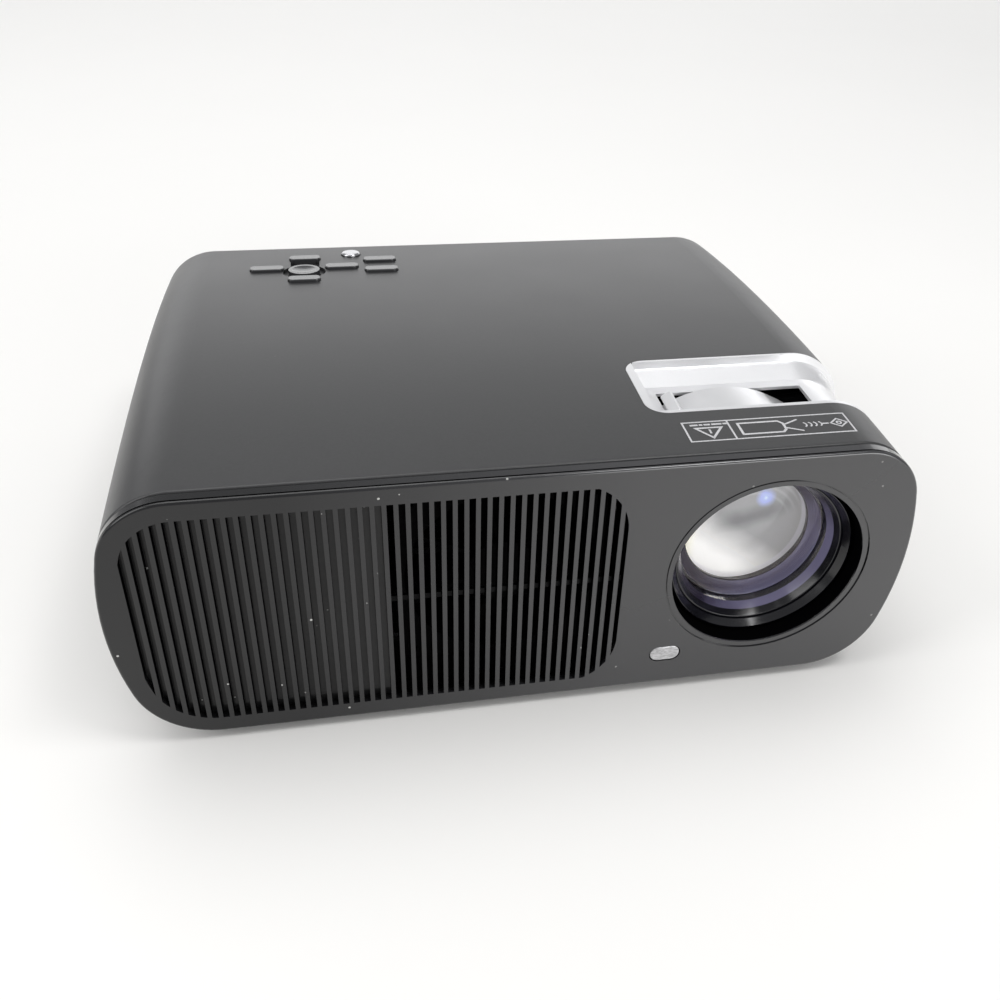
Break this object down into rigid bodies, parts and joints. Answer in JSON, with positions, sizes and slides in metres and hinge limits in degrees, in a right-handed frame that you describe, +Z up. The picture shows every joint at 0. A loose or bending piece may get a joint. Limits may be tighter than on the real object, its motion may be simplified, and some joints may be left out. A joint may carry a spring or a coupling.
{
  "type": "home projector",
  "caption": "Table-top home projector with a louvred pill-shaped front, a large recessed lens, a focus lever in a top recess and a key pad on top.",
  "frame": {"origin": "middle of the bounding box on the table plane under the rubber feet", "axes": "+Z up; the lens looks along -Y; +X is to the right for someone facing the lens"},
  "size_m": [0.31, 0.25, 0.114],
  "materials": {
    "case_black": "satin moulded ABS",
    "front_gloss": "high gloss moulded ABS",
    "silver_plastic": "silver sprayed plastic",
    "key_grey": "satin",
    "barrel_black": "satin black",
    "ring_black": "black anodised",
    "lens_glass": "coated optical glass",
    "window_clear": "clear infrared window",
    "board_green": "circuit board laminate",
    "chip_black": "moulded epoxy",
    "cooler_metal": "extruded aluminium",
    "engine_black": "glass-filled polycarbonate",
    "mirror_glass": "front-silvered",
    "lamp_ceramic": "phosphor on ceramic",
    "socket_metal": "nickel plated",
    "jack_plastic": "moulded",
    "connector_blue": "moulded",
    "speaker_black": "coated paper and steel",
    "rubber_black": "soft rubber",
    "screw_steel": "black zinc",
    "insert_brass": "knurled",
    "stud_steel": "turned",
    "fan_black": "moulded",
    "tray_steel": "galvanised sheet",
    "foam_grey": "open mesh",
    "coil_tape": "polyester tape",
    "capacitor_sleeve": "sleeved aluminium can"
  },
  "bodies": {
    "case": {"top_cover": "case_black", "bottom_cover": "case_black", "front_panel": "front_gloss", "rear_panel": "case_black", "control_recess": "silver_plastic", "keypad_board": "board_green", "sensor_window": "window_clear", "sensor_receiver": "chip_black", "lens_housing": "engine_black", "optical_case": "engine_black", "rear_fresnel": "lens_glass", "lcd_panel": "lens_glass", "front_fresnel": "lens_glass", "heat_glass": "lens_glass", "condenser_lens": "lens_glass", "folding_mirror": "mirror_glass", "lamp_cooler": "cooler_metal", "led_module": "lamp_ceramic", "exhaust_fan_frame": "fan_black", "intake_fan_frame": "fan_black", "dust_filter": "foam_grey", "main_board": "board_green", "board_chips": "chip_black", "chip_cooler": "cooler_metal", "power_board": "board_green", "transformer": "coil_tape", "capacitors": "capacitor_sleeve", "hdmi_ports": "socket_metal", "usb_ports": "socket_metal", "audio_jacks": "jack_plastic", "vga_port": "connector_blue", "power_inlet": "jack_plastic", "inlet_screws": "screw_steel", "speaker_left": "speaker_black", "speaker_right": "speaker_black", "rubber_feet": "rubber_black", "case_screws": "screw_steel", "ceiling_inserts": "insert_brass", "board_tray": "tray_steel"},
    "key_left_cap": {"key_left": "key_grey"},
    "key_right_cap": {"key_right": "key_grey"},
    "key_up_cap": {"key_up": "key_grey"},
    "key_down_cap": {"key_down": "key_grey"},
    "key_ok_cap": {"key_ok": "key_grey"},
    "key_source_cap": {"key_source": "key_grey"},
    "key_menu_cap": {"key_menu": "key_grey"},
    "power_button_cap": {"power_button": "key_grey"},
    "focus_drum": {"focus_ring": "silver_plastic"},
    "lens_group": {"lens_barrel": "barrel_black", "lens_retaining_ring": "ring_black", "front_lens": "lens_glass", "rear_lens": "lens_glass"},
    "exhaust_rotor": {"exhaust_fan_rotor": "fan_black"},
    "intake_rotor": {"intake_fan_rotor": "fan_black"},
    "lift_nut": {"lift_wheel": "jack_plastic"},
    "lift_foot": {"lift_stud": "stud_steel"}
  },
  "joints": [
    {"name": "key_left_press", "type": "slide", "parent": "case", "child": "key_left_cap", "axis": [0, -0.1089, -0.9941], "range_m": [0, 0.0005], "stiffness_N_per_m": 800},
    {"name": "key_right_press", "type": "slide", "parent": "case", "child": "key_right_cap", "axis": [0, -0.1089, -0.9941], "range_m": [0, 0.0005], "stiffness_N_per_m": 800},
    {"name": "key_up_press", "type": "slide", "parent": "case", "child": "key_up_cap", "axis": [0, -0.1089, -0.9941], "range_m": [0, 0.0005], "stiffness_N_per_m": 800},
    {"name": "key_down_press", "type": "slide", "parent": "case", "child": "key_down_cap", "axis": [0, -0.1089, -0.9941], "range_m": [0, 0.0005], "stiffness_N_per_m": 800},
    {"name": "key_ok_press", "type": "slide", "parent": "case", "child": "key_ok_cap", "axis": [0, -0.1089, -0.9941], "range_m": [0, 0.0005], "stiffness_N_per_m": 800},
    {"name": "key_source_press", "type": "slide", "parent": "case", "child": "key_source_cap", "axis": [0, -0.1089, -0.9941], "range_m": [0, 0.0005], "stiffness_N_per_m": 800},
    {"name": "key_menu_press", "type": "slide", "parent": "case", "child": "key_menu_cap", "axis": [0, -0.1089, -0.9941], "range_m": [0, 0.0005], "stiffness_N_per_m": 800},
    {"name": "power_button_press", "type": "slide", "parent": "case", "child": "power_button_cap", "axis": [0, -0.1089, -0.9941], "range_m": [0, 0.0005], "stiffness_N_per_m": 800},
    {"name": "focus_turn", "type": "hinge", "parent": "case", "child": "focus_drum", "pos_m": [0.0951, -0.072, 0.0614], "axis": [0, 1, 0], "range_deg": [0, 62]},
    {"name": "lens_slide", "type": "slide", "parent": "case", "child": "lens_group", "axis": [0, 1, 0], "range_m": [0, 0.008]},
    {"name": "exhaust_spin", "type": "hinge", "parent": "case", "child": "exhaust_rotor", "pos_m": [-0.0095, -0.1, 0.06], "axis": [0, 1, 0], "continuous": true},
    {"name": "intake_spin", "type": "hinge", "parent": "case", "child": "intake_rotor", "pos_m": [-0.1265, 0.018, 0.0615], "axis": [1, 0, 0], "continuous": true},
    {"name": "lift_turn", "type": "hinge", "parent": "case", "child": "lift_nut", "pos_m": [-0.01, -0.073, 0.007], "axis": [0, 0, 1], "range_deg": [0, 1728]},
    {"name": "lift_slide", "type": "slide", "parent": "case", "child": "lift_foot", "axis": [0, 0, -1], "range_m": [0, 0.012]}
  ],
  "couplings": [
    {"joint": "lens_slide", "follows": "focus_turn", "m_per_rad": 0.007393},
    {"joint": "lift_turn", "follows": "lift_slide", "rad_per_m": 2513.3}
  ]
}
